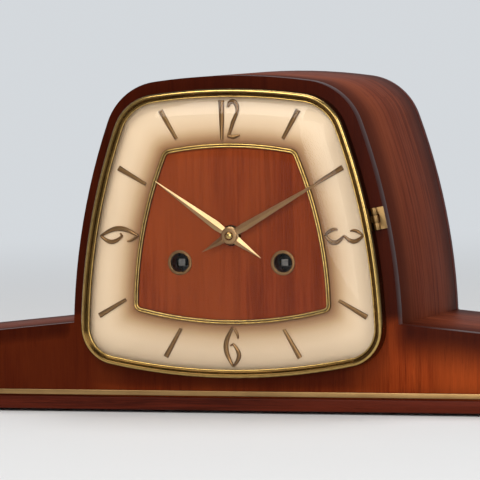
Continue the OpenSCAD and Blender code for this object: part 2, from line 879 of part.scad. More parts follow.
// Spring barrel: toothed rim, drum and cover, bored for its arbor
module barrel(p, phase) {
  on_axis() translate([p[0], 0, p[1]]) difference() {
    union() {
      slab(barrel_y, barrel_y + 2) wheel(barrel_n, barrel_m, phase);
      bar([0, 0], barrel_m * barrel_n / 2 - 2, barrel_y + 2, barrel_y + barrel_l);
      bar([0, 0], 4.5, barrel_y - 1, barrel_y + barrel_l + 1);
    }
    bar([0, 0], barrel_m * barrel_n / 2 - 3, barrel_y + 3, barrel_y + barrel_l - 1.2);
    bar([0, 0], 3 + pivot_clear, barrel_y - 2, barrel_y + barrel_l + 2);
  }
}

module going_barrel() {
  color(brass) barrel(going_p, angle_to(going_p, second_p));
}

module strike_barrel() {
  color(brass) barrel(strike_p, angle_to(strike_p, strike_second_p));
}

// Saw-toothed ratchet
module ratchet() {
  corners = [[0, ratchet_r], [0.12, ratchet_r - 1.6]];
  polygon([for (i = [0:click_n - 1], c = corners) polar(c[1], (i + c[0]) * 360 / click_n)]);
}

module winding_arbor(p) {
  color(steel) on_axis() translate([p[0], 0, p[1]]) {
    bar([0, 0], 3, inner_y + gap, rear_y - gap);
    bar([0, 0], 2.8, ratchet_y - 3, end_y - 0.2);
    slab(ratchet_y - 1.8, ratchet_y) ratchet();
    translate([-square_w / 2, -0.6, -square_w / 2]) cube([square_w, ratchet_y - 2, square_w]);
  }
}

module going_winding_arbor() {
  winding_arbor(going_p);
}

module strike_winding_arbor() {
  winding_arbor(strike_p);
}

// Clicks that hold the ratchets, each on its own stud
module clicks() {
  color(steel) on_axis() for (p = [going_p, strike_p]) translate([p[0], 0, p[1]]) {
    slab(ratchet_y - 1.8, ratchet_y) rotate(-90) polygon([
      polar(ratchet_r - 1.3, 5), polar(ratchet_r + 0.4, 1), polar(ratchet_r + 5, 8),
      polar(ratchet_r + 8, 22), polar(ratchet_r + 6, 30), polar(ratchet_r + 2.2, 22),
      polar(ratchet_r + 0.5, 10)
    ]);
    bar(polar(ratchet_r + 5.5, -90 + 22), 1.6, ratchet_y - 2.6, front_y);
  }
}

// ---- Going train ----

module centre_wheel() {
  color(brass) on_axis() {
    crossed_wheel(centre_n, fine_m, angle_to([0, 0], third_p), 5, 1.2, centre_wheel_y);
    pinion(
      centre_pinion_n, wheel_m, gap_phase(second_p, [0, 0], centre_pinion_n),
      second_wheel_y - 1, second_wheel_y + 3
    );
    bar([0, 0], 1.4, inner_y + gap, rear_y - gap);
    bar([0, 0], pivot_r, rear_y - 1, end_y - 0.2);
    bar([0, 0], 1.5, minute_y - hand_t + sliver, inner_y + 1);
  }
}

// Wheel at p with one tooth towards the next arbor, and its pinion, driven from the last one
module train_wheel(p, n, m, toward, windows, y, pinion_n, pinion_m, driver, py0, py1) {
  color(brass) on_axis() translate([p[0], 0, p[1]]) {
    crossed_wheel(n, m, angle_to(p, toward), windows, 1.2, y);
    pinion(pinion_n, pinion_m, gap_phase(driver, p, pinion_n), py0, py1);
    arbor(1.3);
  }
}

module second_wheel() {
  train_wheel(
    second_p, second_n, wheel_m, [0, 0], 5, second_wheel_y,
    barrel_pinion_n, barrel_m, going_p, barrel_y - 1, barrel_y + 3
  );
}

module third_wheel() {
  train_wheel(
    third_p, third_n, fine_m, escape_p, 5, third_wheel_y,
    small_pinion_n, fine_m, [0, 0], centre_wheel_y - 1, centre_wheel_y + 2.2
  );
}

module escape_wheel() {
  corners = [[0, escape_r], [0.14, escape_r], [0.5, escape_r - 2.2], [0.86, escape_r - 2.2]];
  color(brass) on_axis() translate([escape_p[0], 0, escape_p[1]]) {
    slab(escape_wheel_y, escape_wheel_y + 1) difference() {
      rotate(90 + 180 / escape_n) polygon([
        for (i = [0:escape_n - 1], c = corners)
          polar(c[1], (i + c[0]) * 360 / escape_n)
      ]);
      for (i = [0:4]) rotate(i * 72) translate([4.6, 0]) circle(r = 1.9);
    }
    pinion(
      small_pinion_n, fine_m, gap_phase(third_p, escape_p, small_pinion_n),
      third_wheel_y - 1, third_wheel_y + 2.2
    );
    arbor(1.2);
  }
}

// Anchor with two pallets, its arbor and the crutch behind the back plate
module anchor() {
  color(steel) on_axis() {
    slab(escape_wheel_y, escape_wheel_y + 1) {
      for (s = [-1, 1]) {
        stroke([
          anchor_p + [0, 1], anchor_p + [s * 6.6, -4.2], escape_p + polar(escape_r + 2.6, 90 - s * 48)
        ], [2, 1.2, 0.7]);
        stroke([
          escape_p + polar(escape_r + 3, 90 - s * 48), escape_p + polar(escape_r + 0.45, 90 - s * 49)
        ], [0.7, 0.35]);
      }
    }
    bar(anchor_p, 1.3, inner_y + gap, rear_y - gap);
    bar(anchor_p, pivot_r, front_y + 0.2, pendulum_y - 1);
    slab(end_y + 3, end_y + 4) stroke([anchor_p + [0, 2], anchor_p + [0, -34]], [1.8, 1.4]);
    translate([anchor_p[0] - 2.3, end_y + 3, anchor_p[1] - 34]) {
      for (x = [0, 3.8]) translate([x, 0, 0]) cube([0.8, pendulum_y - end_y, 3]);
      cube([4.6, 1, 3]);
    }
  }
}

// ---- Motion work, in front of the front plate ----

module cannon_pinion() {
  color(brass) on_axis() difference() {
    union() {
      pinion(cannon_n, motion_m, angle_to([0, 0], minute_wheel_p), motion_y + 4, front_y - 1);
      bar([0, 0], 2.4, minute_y + gap, motion_y + 4);
    }
    bar([0, 0], 1.5, minute_y - 1, front_y + 1);
  }
}

module minute_wheel() {
  d = angle_to(minute_wheel_p, [0, 0]);
  color(brass) on_axis() translate([minute_wheel_p[0], 0, minute_wheel_p[1]]) difference() {
    union() {
      crossed_wheel(minute_wheel_n, motion_m, d + 180 / minute_wheel_n, 5, 1.2, motion_y + 5.4);
      pinion(minute_pinion_n, motion_m * 24 / 25, d, motion_y + 0.6, motion_y + 5.4);
      bar([0, 0], 1.7, motion_y + 0.6, motion_y + 6.6);
    }
    bar([0, 0], 1 + pivot_clear, motion_y - 1, front_y + 1);
  }
}

module hour_wheel() {
  color(brass) on_axis() difference() {
    union() {
      crossed_wheel(
        hour_wheel_n, motion_m * 24 / 25, angle_to([0, 0], minute_wheel_p) + 180 / hour_wheel_n,
        5, 1.2, motion_y + 2
      );
      bar([0, 0], 3.1, hour_y - hand_t + sliver, motion_y + 3.2);
    }
    bar([0, 0], 2.4 + pivot_clear, hour_y - 3, motion_y + 4);
  }
}

// ---- Strike train ----

module strike_second_wheel() {
  train_wheel(
    strike_second_p, strike_second_n, fine_m, pin_wheel_p, 5, strike_wheel_y,
    barrel_pinion_n, barrel_m, strike_p, barrel_y - 1, barrel_y + 3
  );
}

module pin_wheel() {
  train_wheel(
    pin_wheel_p, pin_wheel_n, fine_m, fly_p, 4, pin_wheel_y,
    small_pinion_n, fine_m, strike_second_p, strike_wheel_y - 1, strike_wheel_y + 2.2
  );
  color(steel) on_axis() translate([pin_wheel_p[0], 0, pin_wheel_p[1]]) for (i = [0:7])
    bar(polar(8.2, i * 45 + 22.5), 0.5, pin_wheel_y - 2.5, pin_wheel_y + 0.5);
}

// Air brake: a thin vane on the last arbor of the strike train
module fly() {
  vane = 7;
  color(brass) on_axis() translate([fly_p[0], 0, fly_p[1]]) {
    pinion(
      small_pinion_n, fine_m, gap_phase(pin_wheel_p, fly_p, small_pinion_n),
      pin_wheel_y - 1, pin_wheel_y + 2.2
    );
    arbor(1.1);
    translate([-vane, inner_y + 6, -0.4]) cube([vane * 2, 16, 0.8]);
  }
}

// ---- Hammers, gong and pendulum, behind the back plate ----

module hammer_shaft() {
  color(steel) on_axis() {
    bar(hammer_p, 1.8, end_y, hammer_y[1] + 4);
    bar(hammer_p, 3.4, end_y, end_y + 2);
  }
}

module hammer(y) {
  color(steel) on_axis() translate([hammer_p[0], 0, hammer_p[1]]) {
    difference() {
      bar([0, 0], 3.4, y - 2, y + 2);
      bar([0, 0], 1.8 + pivot_clear, y - 3, y + 3);
    }
    slab(y - 0.6, y + 0.6)
      stroke([[-2.9, 0], [6 - hammer_arm, -1], [1 - hammer_arm, 6 - hammer_drop]], [0.9, 0.8, 0.8]);
  }
  color(brass) on_axis() translate([hammer_p[0] - hammer_arm, y, hammer_p[1] - hammer_drop])
    cylinder(r = hammer_head_r - 0.8, h = 8);
}

module hammer_low() {
  hammer(hammer_y[0]);
}

module hammer_high() {
  hammer(hammer_y[1]);
}

module gong_block() {
  color("#3b3b3e") placed() translate([block_x, hammer_y[0] - 8, base_t]) difference() {
    cube([block_w, hammer_y[1] - hammer_y[0] + 16, gong_z - base_t + 6]);
    for (y = hammer_y) translate([-1, y - hammer_y[0] + 8, gong_z - base_t]) rotate([0, 90, 0])
      cylinder(r = gong_r, h = 9);
  }
}

module gong_rods() {
  color(steel) placed() for (y = hammer_y) translate([gong_x, y, gong_z]) rotate([0, 90, 0])
    cylinder(r = gong_r, h = gong_l + 8);
}

module pendulum_rod() {
  color(steel) on_axis() {
    translate([anchor_p[0], pendulum_y, anchor_p[1] - pendulum_l - bob_r - 5])
      cylinder(r = 1, h = pendulum_l + bob_r + 3);
    difference() {
      bar(anchor_p, 3, pendulum_y - 1, pendulum_y + 1);
      bar(anchor_p, pivot_r, pendulum_y - 2, pendulum_y - 0.5);
    }
  }
}

module pendulum_bob() {
  color(brass) on_axis() difference() {
    bar(anchor_p - [0, pendulum_l], bob_r, pendulum_y - bob_t / 2, pendulum_y + bob_t / 2);
    translate([anchor_p[0], pendulum_y, anchor_p[1] - pendulum_l - bob_r - 1])
      cylinder(r = 1, h = 2 * bob_r + 2);
  }
}

module rating_nut() {
  nut_z = anchor_p[1] - pendulum_l - bob_r - 3.4;
  color(brass) on_axis() translate([anchor_p[0], pendulum_y, nut_z]) difference() {
    cylinder(r = 3.5, h = 2.4);
    translate([0, 0, -1]) cylinder(r = 1 + pivot_clear, h = 5);
  }
}

front_board();
hood();
wing_top_left();
wing_top_right();
wing_end_left();
wing_end_right();
base_board();
back_board();
glue_blocks();
brass_strip();
felt_pads();
back_door();
door_hinge_leaves();
door_hinge_flaps();
door_hinge_pins();
door_knob();
bezel();
bezel_glass();
glass_ring();
bezel_hinge_leaf();
bezel_hinge_flap();
bezel_hinge_pin();
dial_plate();
dial_frame();
dial_veneer();
numerals();
hour_markers();
winding_grommets();
hour_hand();
minute_hand();
hand_nut();
front_plate();
back_plate();
pillars();
plate_nuts();
mounting_brackets();
going_barrel();
strike_barrel();
going_winding_arbor();
strike_winding_arbor();
clicks();
centre_wheel();
second_wheel();
third_wheel();
escape_wheel();
anchor();
cannon_pinion();
minute_wheel();
hour_wheel();
strike_second_wheel();
pin_wheel();
fly();
hammer_low();
hammer_high();
hammer_shaft();
gong_block();
gong_rods();
pendulum_rod();
pendulum_bob();
rating_nut();
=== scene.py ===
import json
import math
import bmesh
import bpy
from mathutils import Matrix, Vector


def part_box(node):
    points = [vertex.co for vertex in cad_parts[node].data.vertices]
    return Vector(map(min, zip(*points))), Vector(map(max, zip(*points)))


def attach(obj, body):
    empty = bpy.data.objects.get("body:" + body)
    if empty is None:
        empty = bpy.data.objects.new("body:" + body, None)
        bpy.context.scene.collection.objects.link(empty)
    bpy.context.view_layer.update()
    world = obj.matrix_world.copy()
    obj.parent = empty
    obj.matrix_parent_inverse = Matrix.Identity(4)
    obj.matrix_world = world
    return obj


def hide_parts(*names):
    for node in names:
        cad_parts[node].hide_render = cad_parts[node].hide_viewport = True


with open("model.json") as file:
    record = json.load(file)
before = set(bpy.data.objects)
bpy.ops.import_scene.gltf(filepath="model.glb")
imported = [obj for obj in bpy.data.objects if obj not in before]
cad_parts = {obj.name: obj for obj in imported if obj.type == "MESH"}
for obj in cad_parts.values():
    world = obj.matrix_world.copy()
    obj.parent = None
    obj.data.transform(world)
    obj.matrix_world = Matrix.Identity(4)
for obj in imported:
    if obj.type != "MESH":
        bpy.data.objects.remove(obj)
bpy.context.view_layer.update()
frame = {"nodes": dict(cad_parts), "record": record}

nodes = frame["nodes"]
bodyOf = {n: b for b, members in frame["record"]["behaviour"]["bodies"].items() for n in members}
mm = 0.001

# Everything is placed from the front board's face, the base's underside and the hand axis
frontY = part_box("front_board")[0].y
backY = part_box("back_board")[1].y
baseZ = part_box("base_board")[0].z
nutLow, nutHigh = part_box("hand_nut")
axisZ = (nutLow.z + nutHigh.z) / 2
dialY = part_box("dial_plate")[0].y
print("frame loaded:", len(nodes), "nodes")


caseShape = {
    "halfWidth": 88.5, "height": 174, "topRadius": 308, "sideRadius": 339,
    "sideHeight": 34, "cornerRadius": 32,
}
bezelShape = {"margin": 6.4, "low": 17.4, "bottomRadius": 330, "cornerRadius": 20, "width": 4.6}
panelShape = {
    "up": 47.9, "down": 46.2, "halfWidth": 53.6, "topRadius": 185, "sideRadius": 215,
    "bottomRadius": 205, "sideDrop": 41, "highCorner": 5, "lowCorner": 4.5,
}


def polar(radius, angle):
    return (radius * math.cos(angle), radius * math.sin(angle))


def crossing(a, ra, b, rb):
    # where two circles cross, on the left of the line from a to b
    dx, dz = b[0] - a[0], b[1] - a[1]
    gap = math.hypot(dx, dz)
    along = (ra * ra - rb * rb + gap * gap) / (2 * gap)
    out = math.sqrt(ra * ra - along * along)
    return (a[0] + (dx * along - dz * out) / gap, a[1] + (dz * along + dx * out) / gap)


def heading(a, b):
    return math.atan2(b[1] - a[1], b[0] - a[0])


def arcPoints(centre, radius, start, end, steps):
    points = []
    for i in range(steps):
        x, z = polar(radius, start + (end - start) * i / steps)
        points.append((centre[0] + x, centre[1] + z))
    return points


def bowedOutline(bottom, side, top, lowCorner, highCorner, inset, steps=(14, 12, 26, 12, 12)):
    # closed outline of four bowed sides with round corners; each side is (centre, radius)
    low = crossing(bottom[0], bottom[1] - lowCorner, side[0], side[1] - lowCorner)
    high = crossing(side[0], side[1] - highCorner, top[0], top[1] - highCorner)
    a1, a2 = heading(bottom[0], low), heading(side[0], low)
    a3, a4 = heading(side[0], high), heading(top[0], high)
    half = arcPoints(bottom[0], bottom[1] - inset, -math.pi / 2, a1, steps[0])
    half += arcPoints(low, lowCorner - inset, a1, a2, steps[1])
    half += arcPoints(side[0], side[1] - inset, a2, a3, steps[2])
    half += arcPoints(high, highCorner - inset, a3, a4, steps[3])
    half += arcPoints(top[0], top[1] - inset, a4, math.pi / 2, steps[4])
    crown = (0, top[0][1] + top[1] - inset)
    mirror = [(-x, z) for x, z in reversed(half[1:])]
    return half + [crown] + mirror


sideCentre = (caseShape["halfWidth"] - caseShape["sideRadius"], caseShape["sideHeight"])
topCentre = (0, caseShape["height"] - caseShape["topRadius"])
axisHeight = (axisZ - baseZ) / mm


def bezelOutline(inset):
    b, c = bezelShape, caseShape
    return bowedOutline(
        ((0, b["low"] + b["bottomRadius"]), b["bottomRadius"]),
        (sideCentre, c["sideRadius"] - b["margin"]),
        (topCentre, c["topRadius"] - b["margin"]),
        b["cornerRadius"], c["cornerRadius"] - b["margin"], inset)


panelSides = {
    "bottom": (
        (0, axisHeight - panelShape["down"] + panelShape["bottomRadius"]), panelShape["bottomRadius"]),
    "side": (
        (panelShape["halfWidth"] - panelShape["sideRadius"], axisHeight - panelShape["sideDrop"]),
        panelShape["sideRadius"]),
    "top": ((0, axisHeight + panelShape["up"] - panelShape["topRadius"]), panelShape["topRadius"]),
}


def panelOutline(inset):
    s = panelSides
    corners = panelShape["lowCorner"], panelShape["highCorner"]
    return bowedOutline(s["bottom"], s["side"], s["top"], *corners, inset)


def place(x, height, z):
    # millimetres from the centre line, in front of the board's face, and above the base
    return Vector((x * mm, frontY - height * mm, baseZ + z * mm))


def reach(outline, angle):
    # distance from the hand axis to an outline, in one direction
    ux, uz = polar(1, angle)
    best = 0
    for i in range(len(outline)):
        px, pz = outline[i][0], outline[i][1] - axisHeight
        qx, qz = outline[(i + 1) % len(outline)][0], outline[(i + 1) % len(outline)][1] - axisHeight
        cp, cq = ux * pz - uz * px, ux * qz - uz * qx
        if cp * cq <= 0 and cp != cq:
            t = cp / (cp - cq)
            best = max(best, (px + (qx - px) * t) * ux + (pz + (qz - pz) * t) * uz)
    return best


def newMaterial(name):
    material = bpy.data.materials.new(name)
    material.use_nodes = True
    tree = material.node_tree
    tree.nodes.clear()
    out = tree.nodes.new("ShaderNodeOutputMaterial")
    shader = tree.nodes.new("ShaderNodeBsdfPrincipled")
    tree.links.new(shader.outputs[0], out.inputs[0])
    return material, tree, shader


def add(tree, kind, **settings):
    node = tree.nodes.new(kind)
    for key, value in settings.items():
        setattr(node, key, value)
    return node


def link(tree, source, target):
    tree.links.new(source, target)


def maths(tree, operation, a, b=None, clamp=False):
    node = add(tree, "ShaderNodeMath", operation=operation, use_clamp=clamp)
    for slot, value in zip(node.inputs, (a, b)):
        if value is None:
            continue
        if isinstance(value, (int, float)):
            slot.default_value = value
        else:
            link(tree, value, slot)
    return node.outputs[0]


def blendColour(tree, factor, a, b):
    node = add(tree, "ShaderNodeMix", data_type="RGBA")
    for slot, value in ((0, factor), (6, a), (7, b)):  # the mix node's factor and colour sockets
        if isinstance(value, (int, float)):
            node.inputs[slot].default_value = value
        elif isinstance(value, tuple):
            node.inputs[slot].default_value = (*value, 1)
        else:
            link(tree, value, node.inputs[slot])
    return node.outputs[2]


def noise(tree, vector, scale, detail=4, roughness=0.55, distortion=0.0):
    node = add(tree, "ShaderNodeTexNoise")
    node.inputs["Scale"].default_value = scale
    node.inputs["Detail"].default_value = detail
    node.inputs["Roughness"].default_value = roughness
    node.inputs["Distortion"].default_value = distortion
    link(tree, vector, node.inputs["Vector"])
    return node.outputs[0]


def stretched(tree, vector, scale):
    node = add(tree, "ShaderNodeMapping")
    node.inputs["Scale"].default_value = scale
    link(tree, vector, node.inputs["Vector"])
    return node.outputs[0]


def between(tree, value, low, high):
    node = add(tree, "ShaderNodeMapRange", interpolation_type="SMOOTHSTEP")
    node.inputs["From Min"].default_value = low
    node.inputs["From Max"].default_value = high
    link(tree, value, node.inputs["Value"])
    return node.outputs[0]


def bump(tree, shader, height, strength, distance):
    node = add(tree, "ShaderNodeBump")
    node.inputs["Strength"].default_value = strength
    node.inputs["Distance"].default_value = distance
    link(tree, height, node.inputs["Height"])
    link(tree, node.outputs[0], shader.inputs["Normal"])


def objectSpot(tree):
    return add(tree, "ShaderNodeTexCoord").outputs["Object"]


def grainSpot(tree):
    # across, along and through the grain, stored on each board by grainBy
    return add(tree, "ShaderNodeAttribute", attribute_name="grain").outputs["Vector"]


def circleDistance(tree, across, up, centre, radius):
    # distance outside one arc of an outline, negative inside it
    dx = maths(tree, "SUBTRACT", across, centre[0] * mm)
    dz = maths(tree, "SUBTRACT", up, baseZ + centre[1] * mm)
    square = maths(tree, "ADD", maths(tree, "MULTIPLY", dx, dx), maths(tree, "MULTIPLY", dz, dz))
    return maths(tree, "SUBTRACT", maths(tree, "SQRT", square), radius * mm)


veneerLook = {
    "light": (0.300, 0.052, 0.009), "mid": (0.195, 0.026, 0.004), "dark": (0.120, 0.0135, 0.002),
    "shade": (0.026, 0.0028, 0.0008), "roughness": 0.34, "coat": 0.0, "coatRoughness": 0.2, "gloss": 0.03,
}

# how closely each pattern repeats across, along and through the grain
grainShape = {
    "figure": (28, 5, 28), "streaks": (420, 9, 420), "fibres": (2600, 60, 2600), "pores": (1900, 110, 1900),
}


def veneer(name, look=veneerLook, shadeBy=None):
    material, tree, shader = newMaterial(name)
    spot = grainSpot(tree)
    figure = noise(tree, stretched(tree, spot, grainShape["figure"]), 1, 3, 0.5, 0.6)
    streaks = noise(tree, stretched(tree, spot, grainShape["streaks"]), 1, 6, 0.62, 0.35)
    fibres = noise(tree, stretched(tree, spot, grainShape["fibres"]), 1, 3, 0.6)
    pores = noise(tree, stretched(tree, spot, grainShape["pores"]), 1, 2, 0.5)
    body = blendColour(tree, between(tree, streaks, 0.41, 0.59), look["dark"], look["mid"])
    flame = maths(tree, "MULTIPLY", between(tree, figure, 0.42, 0.68), 0.6)
    body = blendColour(tree, flame, body, look["light"])
    fleck = maths(tree, "MULTIPLY", between(tree, fibres, 0.42, 0.66), 0.36)
    body = blendColour(tree, fleck, body, look["light"])
    pit = maths(tree, "MULTIPLY", between(tree, pores, 0.60, 0.72), 0.28)
    body = blendColour(tree, pit, body, look["shade"])
    if shadeBy:
        body = blendColour(tree, shadeBy(tree, streaks), body, look["shade"])
    link(tree, body, shader.inputs["Base Color"])
    wear = noise(tree, spot, 60, 3)
    rough = maths(tree, "ADD", maths(tree, "MULTIPLY", wear, 0.12), look["roughness"] - 0.06)
    link(tree, rough, shader.inputs["Roughness"])
    shader.inputs["Specular IOR Level"].default_value = look["gloss"]
    shader.inputs["Coat Weight"].default_value = look["coat"]
    shader.inputs["Coat Roughness"].default_value = look["coatRoughness"]
    bump(tree, shader, maths(tree, "SUBTRACT", streaks, maths(tree, "MULTIPLY", pit, 0.8)), 0.10, 0.0002)
    return material


def coordinates(tree):
    split = add(tree, "ShaderNodeSeparateXYZ")
    link(tree, objectSpot(tree), split.inputs[0])
    return split.outputs


# metres over which the sprayed shading and the painted shade fade: heights above the base, distances across
# the front
frontSprayAndShade = {
    "border": (-0.030, -0.010), "body": (0.040, 0.052), "wingTop": (0.030, 0.052), "wingSlope": 0.1023,
    "wing": (0.078, 0.094), "low": (0.016, 0.004), "left": (0.01, 0.09), "ends": (0.150, 0.232),
    "under": (0.098, 0.052), "underUp": (0.004, 0.015),
}
depthSpray = {"front": (0.048, 0.010), "back": (0.034, 0.004)}


def frontShade(tree, streaks):
    # sprayed darker towards the body's outline, the bezel and the wings' upper edges, with painted shade
    # over the left side and the front under the body, where less light fell from the right
    fadeSpans = frontSprayAndShade
    x, y, z = coordinates(tree)
    across = maths(tree, "ABSOLUTE", x)
    side = circleDistance(tree, across, z, sideCentre, caseShape["sideRadius"])
    top = circleDistance(tree, x, z, topCentre, caseShape["topRadius"])
    edge = maths(tree, "MAXIMUM", side, top)
    border = between(tree, edge, *fadeSpans["border"])
    onBody = between(tree, z, baseZ + fadeSpans["body"][0], baseZ + fadeSpans["body"][1])
    wingTop = maths(tree, "ADD", z, maths(tree, "MULTIPLY", across, fadeSpans["wingSlope"]))
    wing = between(tree, wingTop, baseZ + fadeSpans["wingTop"][0], baseZ + fadeSpans["wingTop"][1])
    wing = maths(tree, "MULTIPLY", wing, between(tree, across, *fadeSpans["wing"]))
    down = maths(tree, "MULTIPLY", z, -1)
    low = between(tree, down, -baseZ - fadeSpans["low"][0], -baseZ - fadeSpans["low"][1])
    low = maths(tree, "MULTIPLY", low, 0.55)
    # painted shade: the left side darkened because the light came from the right
    leftPaintedShade = maths(tree, "MULTIPLY", between(tree, maths(tree, "MULTIPLY", x, -1), *fadeSpans["left"]), 0.82)
    ends = maths(tree, "MULTIPLY", between(tree, across, *fadeSpans["ends"]), 0.55)
    # partly sprayed shading under the body, partly painted shade where less light reached the left and
    # middle of the front
    under = between(tree, maths(tree, "MULTIPLY", x, -1), -fadeSpans["under"][0], -fadeSpans["under"][1])
    under = maths(tree, "MULTIPLY", under, 0.8)
    lifted = between(tree, z, baseZ + fadeSpans["underUp"][0], baseZ + fadeSpans["underUp"][1])
    under = maths(tree, "MULTIPLY", under, lifted)
    paintedShadeAndSpray = maths(tree, "MULTIPLY", border, onBody)
    for part in (wing, low, ends, under, leftPaintedShade):
        paintedShadeAndSpray = maths(tree, "MAXIMUM", paintedShadeAndSpray, part)
    speckle = maths(tree, "ADD", maths(tree, "MULTIPLY", streaks, 0.3), 0.86)
    return maths(tree, "MULTIPLY", maths(tree, "MULTIPLY", paintedShadeAndSpray, speckle), 0.93, clamp=True)


def depthShade(strength):
    # sprayed darker towards the front and back edges of the bent hood and the wing tops
    def shade(tree, streaks):
        x, y, z = coordinates(tree)
        nearFront, nearBack = depthSpray["front"], depthSpray["back"]
        forward = maths(tree, "MULTIPLY", y, -1)
        front = between(tree, forward, -frontY - nearFront[0], -frontY - nearFront[1])
        back = between(tree, y, backY - nearBack[0], backY - nearBack[1])
        total = maths(tree, "MAXIMUM", maths(tree, "MULTIPLY", front, 0.92), back)
        speckle = maths(tree, "ADD", maths(tree, "MULTIPLY", streaks, 0.4), 0.72)
        return maths(tree, "MULTIPLY", maths(tree, "MULTIPLY", total, speckle), strength, clamp=True)
    return shade


def metal(name, colour, roughness, dull, brushed=None):
    # metal with faint clouding, and brushing along one axis where asked
    wear = 0.12  # how far the roughness wanders
    material, tree, shader = newMaterial(name)
    shader.inputs["Metallic"].default_value = 1
    spot = objectSpot(tree)
    cloud = noise(tree, spot, 45, 5, 0.6)
    tarnish = maths(tree, "MULTIPLY", between(tree, cloud, 0.35, 0.75), 0.5)
    tone = blendColour(tree, tarnish, colour, dull)
    link(tree, tone, shader.inputs["Base Color"])
    rough = maths(tree, "ADD", maths(tree, "MULTIPLY", cloud, wear), roughness - wear / 2)
    link(tree, rough, shader.inputs["Roughness"])
    if brushed:
        lines = noise(tree, stretched(tree, spot, brushed), 1, 3, 0.6)
        bump(tree, shader, lines, 0.10, 0.0001)
    else:
        bump(tree, shader, noise(tree, spot, 900, 2), 0.03, 0.00006)
    return material


def beadedBrass(name):
    # bright along the bead crests and dark between them: painted highlights on the crests and painted dark
    # reflections between them, over faint clouding
    material, tree, shader = newMaterial(name)
    shader.inputs["Metallic"].default_value = 1
    paintedHighlight = add(tree, "ShaderNodeAttribute", attribute_name="paintedHighlight").outputs["Fac"]
    cloud = noise(tree, objectSpot(tree), 45, 5, 0.6)
    fine = noise(tree, objectSpot(tree), 420, 3, 0.6)
    darkBetweenBeads = blendColour(tree, between(tree, cloud, 0.35, 0.7), (0.075, 0.042, 0.012), (0.125, 0.070, 0.020))
    bright = blendColour(tree, between(tree, fine, 0.4, 0.7), (0.56, 0.38, 0.13), (0.44, 0.28, 0.09))
    link(tree, blendColour(tree, paintedHighlight, darkBetweenBeads, bright), shader.inputs["Base Color"])
    rough = maths(tree, "ADD", maths(tree, "MULTIPLY", cloud, 0.12), 0.20)
    rough = maths(tree, "SUBTRACT", rough, maths(tree, "MULTIPLY", paintedHighlight, 0.06))
    link(tree, rough, shader.inputs["Roughness"])
    bump(tree, shader, fine, 0.04, 0.00008)
    return material


def cream(name):
    # cream lacquer, airbrushed brown around the inner frame
    material, tree, shader = newMaterial(name)
    x, y, z = coordinates(tree)
    across = maths(tree, "ABSOLUTE", x)
    far = circleDistance(tree, across, z, *panelSides["side"])
    for which in ("top", "bottom"):
        distance = circleDistance(tree, x, z, *panelSides[which])
        node = add(tree, "ShaderNodeMath", operation="SMOOTH_MAX")
        link(tree, far, node.inputs[0])
        link(tree, distance, node.inputs[1])
        node.inputs[2].default_value = 0.006
        far = node.outputs[0]
    mist = noise(tree, objectSpot(tree), 70, 3)
    far = maths(tree, "ADD", far, maths(tree, "MULTIPLY", maths(tree, "SUBTRACT", mist, 0.5), 0.0012))
    ramp = add(tree, "ShaderNodeValToRGB")
    ramp.color_ramp.interpolation = "B_SPLINE"
    stops = ((0.0, (0.235, 0.095, 0.026)), (0.10, (0.30, 0.135, 0.043)), (0.30, (0.50, 0.30, 0.145)),
             (0.58, (0.74, 0.53, 0.33)), (1.0, (0.86, 0.66, 0.46)))
    while len(ramp.color_ramp.elements) < len(stops):
        ramp.color_ramp.elements.new(0.5)
    for element, (position, colour) in zip(ramp.color_ramp.elements, stops):
        element.position = position
        element.color = (*colour, 1)
    link(tree, maths(tree, "DIVIDE", far, 0.015), ramp.inputs[0])
    fleck = noise(tree, objectSpot(tree), 1500, 2)
    specks = maths(tree, "MULTIPLY", between(tree, fleck, 0.60, 0.75), 0.12)
    tone = blendColour(tree, specks, ramp.outputs[0], (0.50, 0.36, 0.20))
    link(tree, tone, shader.inputs["Base Color"])
    link(tree, maths(tree, "ADD", maths(tree, "MULTIPLY", mist, 0.12), 0.38), shader.inputs["Roughness"])
    bump(tree, shader, fleck, 0.04, 0.0001)
    return material


def clearGlass(name):
    # clear pane that reflects only where its gleam value says so
    material = bpy.data.materials.new(name)
    material.use_nodes = True
    tree = material.node_tree
    tree.nodes.clear()
    out = add(tree, "ShaderNodeOutputMaterial")
    through = add(tree, "ShaderNodeBsdfTransparent")
    through.inputs[0].default_value = (0.99, 0.995, 0.99, 1)
    gloss = add(tree, "ShaderNodeBsdfGlossy")
    gloss.inputs["Roughness"].default_value = 0.02
    fresnel = add(tree, "ShaderNodeFresnel")
    fresnel.inputs[0].default_value = 1.3
    smear = noise(tree, objectSpot(tree), 35, 3)
    clean = maths(tree, "ADD", maths(tree, "MULTIPLY", smear, 0.2), 0.8)
    factor = maths(tree, "MULTIPLY", fresnel.outputs[0], clean)
    gleam = add(tree, "ShaderNodeAttribute", attribute_name="gleam").outputs["Fac"]
    factor = maths(tree, "MULTIPLY", factor, gleam)
    mix = add(tree, "ShaderNodeMixShader")
    link(tree, factor, mix.inputs[0])
    link(tree, through.outputs[0], mix.inputs[1])
    link(tree, gloss.outputs[0], mix.inputs[2])
    link(tree, mix.outputs[0], out.inputs[0])
    return material


def felt(name):
    material, tree, shader = newMaterial(name)
    fuzz = noise(tree, objectSpot(tree), 2200, 4, 0.7)
    tone = blendColour(tree, fuzz, (0.018, 0.022, 0.018), (0.06, 0.07, 0.06))
    link(tree, tone, shader.inputs["Base Color"])
    shader.inputs["Roughness"].default_value = 0.95
    shader.inputs["Sheen Weight"].default_value = 0.4
    bump(tree, shader, fuzz, 0.6, 0.0004)
    return material


def castIron(name):
    material, tree, shader = newMaterial(name)
    grit = noise(tree, objectSpot(tree), 700, 4, 0.6)
    tone = blendColour(tree, grit, (0.012, 0.012, 0.013), (0.035, 0.035, 0.037))
    link(tree, tone, shader.inputs["Base Color"])
    shader.inputs["Roughness"].default_value = 0.55
    shader.inputs["Metallic"].default_value = 0.3
    bump(tree, shader, grit, 0.35, 0.0004)
    return material


